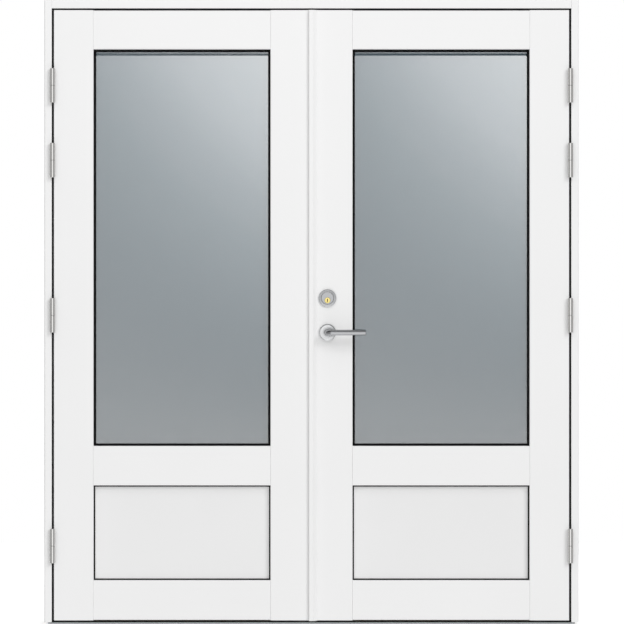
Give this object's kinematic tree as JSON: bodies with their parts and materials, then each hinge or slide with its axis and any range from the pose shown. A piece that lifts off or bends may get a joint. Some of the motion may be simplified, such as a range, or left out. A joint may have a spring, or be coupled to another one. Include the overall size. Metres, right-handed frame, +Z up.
{
  "type": "french doors",
  "caption": "Pair of outward-opening glazed doors in a rebated frame, with lower panels, lift-off hinges, a lever handle and lock, flush bolts and a low threshold.",
  "frame": {"origin": "middle of the threshold's underside, halfway through the frame's depth", "axes": "+X to the right as seen from outside, +Y inwards to the room, +Z up"},
  "size_m": [1.79, 0.181, 2.09],
  "materials": {
    "white_paint": "satin white paint on wood",
    "white_board": "satin white paint on a flat board",
    "glass": "clear float glass",
    "black_rubber": "matt black EPDM",
    "black_spacer": "matt black",
    "sill_metal": "satin anodised grey",
    "oak": "oiled oak",
    "hinge_steel": "matt nickel",
    "handle_steel": "brushed stainless steel",
    "lock_steel": "zinc plated steel",
    "brass": "polished brass"
  },
  "bodies": {
    "frame": {"jamb_left": "white_paint", "jamb_right": "white_paint", "head": "white_paint", "threshold_plate": "sill_metal", "threshold_stop": "oak", "frame_seal": "black_rubber", "threshold_seal": "black_rubber", "frame_screws": "lock_steel", "bolt_keepers": "lock_steel", "frame_hinges": "hinge_steel", "hinge_pins": "lock_steel", "hinge_screws": "lock_steel"},
    "leaf_left": {"left_hinge_stile": "white_paint", "left_lock_stile": "white_paint", "left_top_rail": "white_paint", "left_mid_rail": "white_paint", "left_bottom_rail": "white_paint", "left_outer_pane": "glass", "left_inner_pane": "glass", "left_spacer": "black_spacer", "left_setting_blocks": "black_rubber", "left_gaskets": "black_rubber", "left_beads": "white_paint", "left_panel": "white_board", "left_hinges": "hinge_steel", "left_screws": "lock_steel", "inner_strip": "white_paint", "meeting_seal": "black_rubber", "strike_plate": "lock_steel", "bolt_plates": "lock_steel"},
    "leaf_right": {"right_hinge_stile": "white_paint", "right_lock_stile": "white_paint", "right_top_rail": "white_paint", "right_mid_rail": "white_paint", "right_bottom_rail": "white_paint", "right_outer_pane": "glass", "right_inner_pane": "glass", "right_spacer": "black_spacer", "right_setting_blocks": "black_rubber", "right_gaskets": "black_rubber", "right_beads": "white_paint", "right_panel": "white_board", "right_hinges": "hinge_steel", "right_screws": "lock_steel", "cover_strip": "white_paint", "lock_case": "lock_steel", "handle_roses": "handle_steel", "cylinder_ring": "handle_steel", "cylinder_housing": "handle_steel", "thumb_rose": "handle_steel"},
    "handle": {"outer_lever": "handle_steel", "inner_lever": "handle_steel", "spindle": "lock_steel", "follower": "lock_steel"},
    "latch": {"latch": "lock_steel"},
    "deadbolt": {"deadbolt": "lock_steel"},
    "key_plug": {"key_plug": "brass"},
    "thumb_turn": {"thumb_turn": "handle_steel"},
    "flush_bolt_top": {"flush_bolt_top": "lock_steel"},
    "flush_bolt_bottom": {"flush_bolt_bottom": "lock_steel"}
  },
  "joints": [
    {"name": "leaf_left_swing", "type": "hinge", "parent": "frame", "child": "leaf_left", "pos_m": [-0.8665, -0.067, 1], "axis": [0, 0, -1], "range_deg": [0, 170]},
    {"name": "leaf_right_swing", "type": "hinge", "parent": "frame", "child": "leaf_right", "pos_m": [0.8665, -0.067, 1], "axis": [0, 0, 1], "range_deg": [0, 170]},
    {"name": "handle_turn", "type": "hinge", "parent": "leaf_right", "child": "handle", "pos_m": [0.0535, -0.0265, 0.9765], "axis": [0, 1, 0], "range_deg": [0, 40], "stiffness_Nm_per_rad": 1.2, "springref_deg": -28.65},
    {"name": "latch_slide", "type": "slide", "parent": "leaf_right", "child": "latch", "axis": [1, 0, 0], "range_m": [0, 0.011]},
    {"name": "key_turn", "type": "hinge", "parent": "leaf_right", "child": "key_plug", "pos_m": [0.0535, -0.0265, 1.084], "axis": [0, 1, 0], "range_deg": [0, 90]},
    {"name": "thumb_turn", "type": "hinge", "parent": "leaf_right", "child": "thumb_turn", "pos_m": [0.0535, -0.0265, 1.084], "axis": [0, 1, 0], "range_deg": [0, 90]},
    {"name": "deadbolt_slide", "type": "slide", "parent": "leaf_right", "child": "deadbolt", "axis": [-1, 0, 0], "range_m": [0, 0.02]},
    {"name": "flush_bolt_top_slide", "type": "slide", "parent": "leaf_left", "child": "flush_bolt_top", "axis": [0, 0, 1], "range_m": [0, 0.02]},
    {"name": "flush_bolt_bottom_slide", "type": "slide", "parent": "leaf_left", "child": "flush_bolt_bottom", "axis": [0, 0, -1], "range_m": [0, 0.012]}
  ],
  "couplings": [
    {"joint": "latch_slide", "follows": "handle_turn", "m_per_rad": 0.015755},
    {"joint": "key_turn", "follows": "deadbolt_slide", "rad_per_m": 78.54},
    {"joint": "thumb_turn", "follows": "deadbolt_slide", "rad_per_m": 78.54}
  ]
}
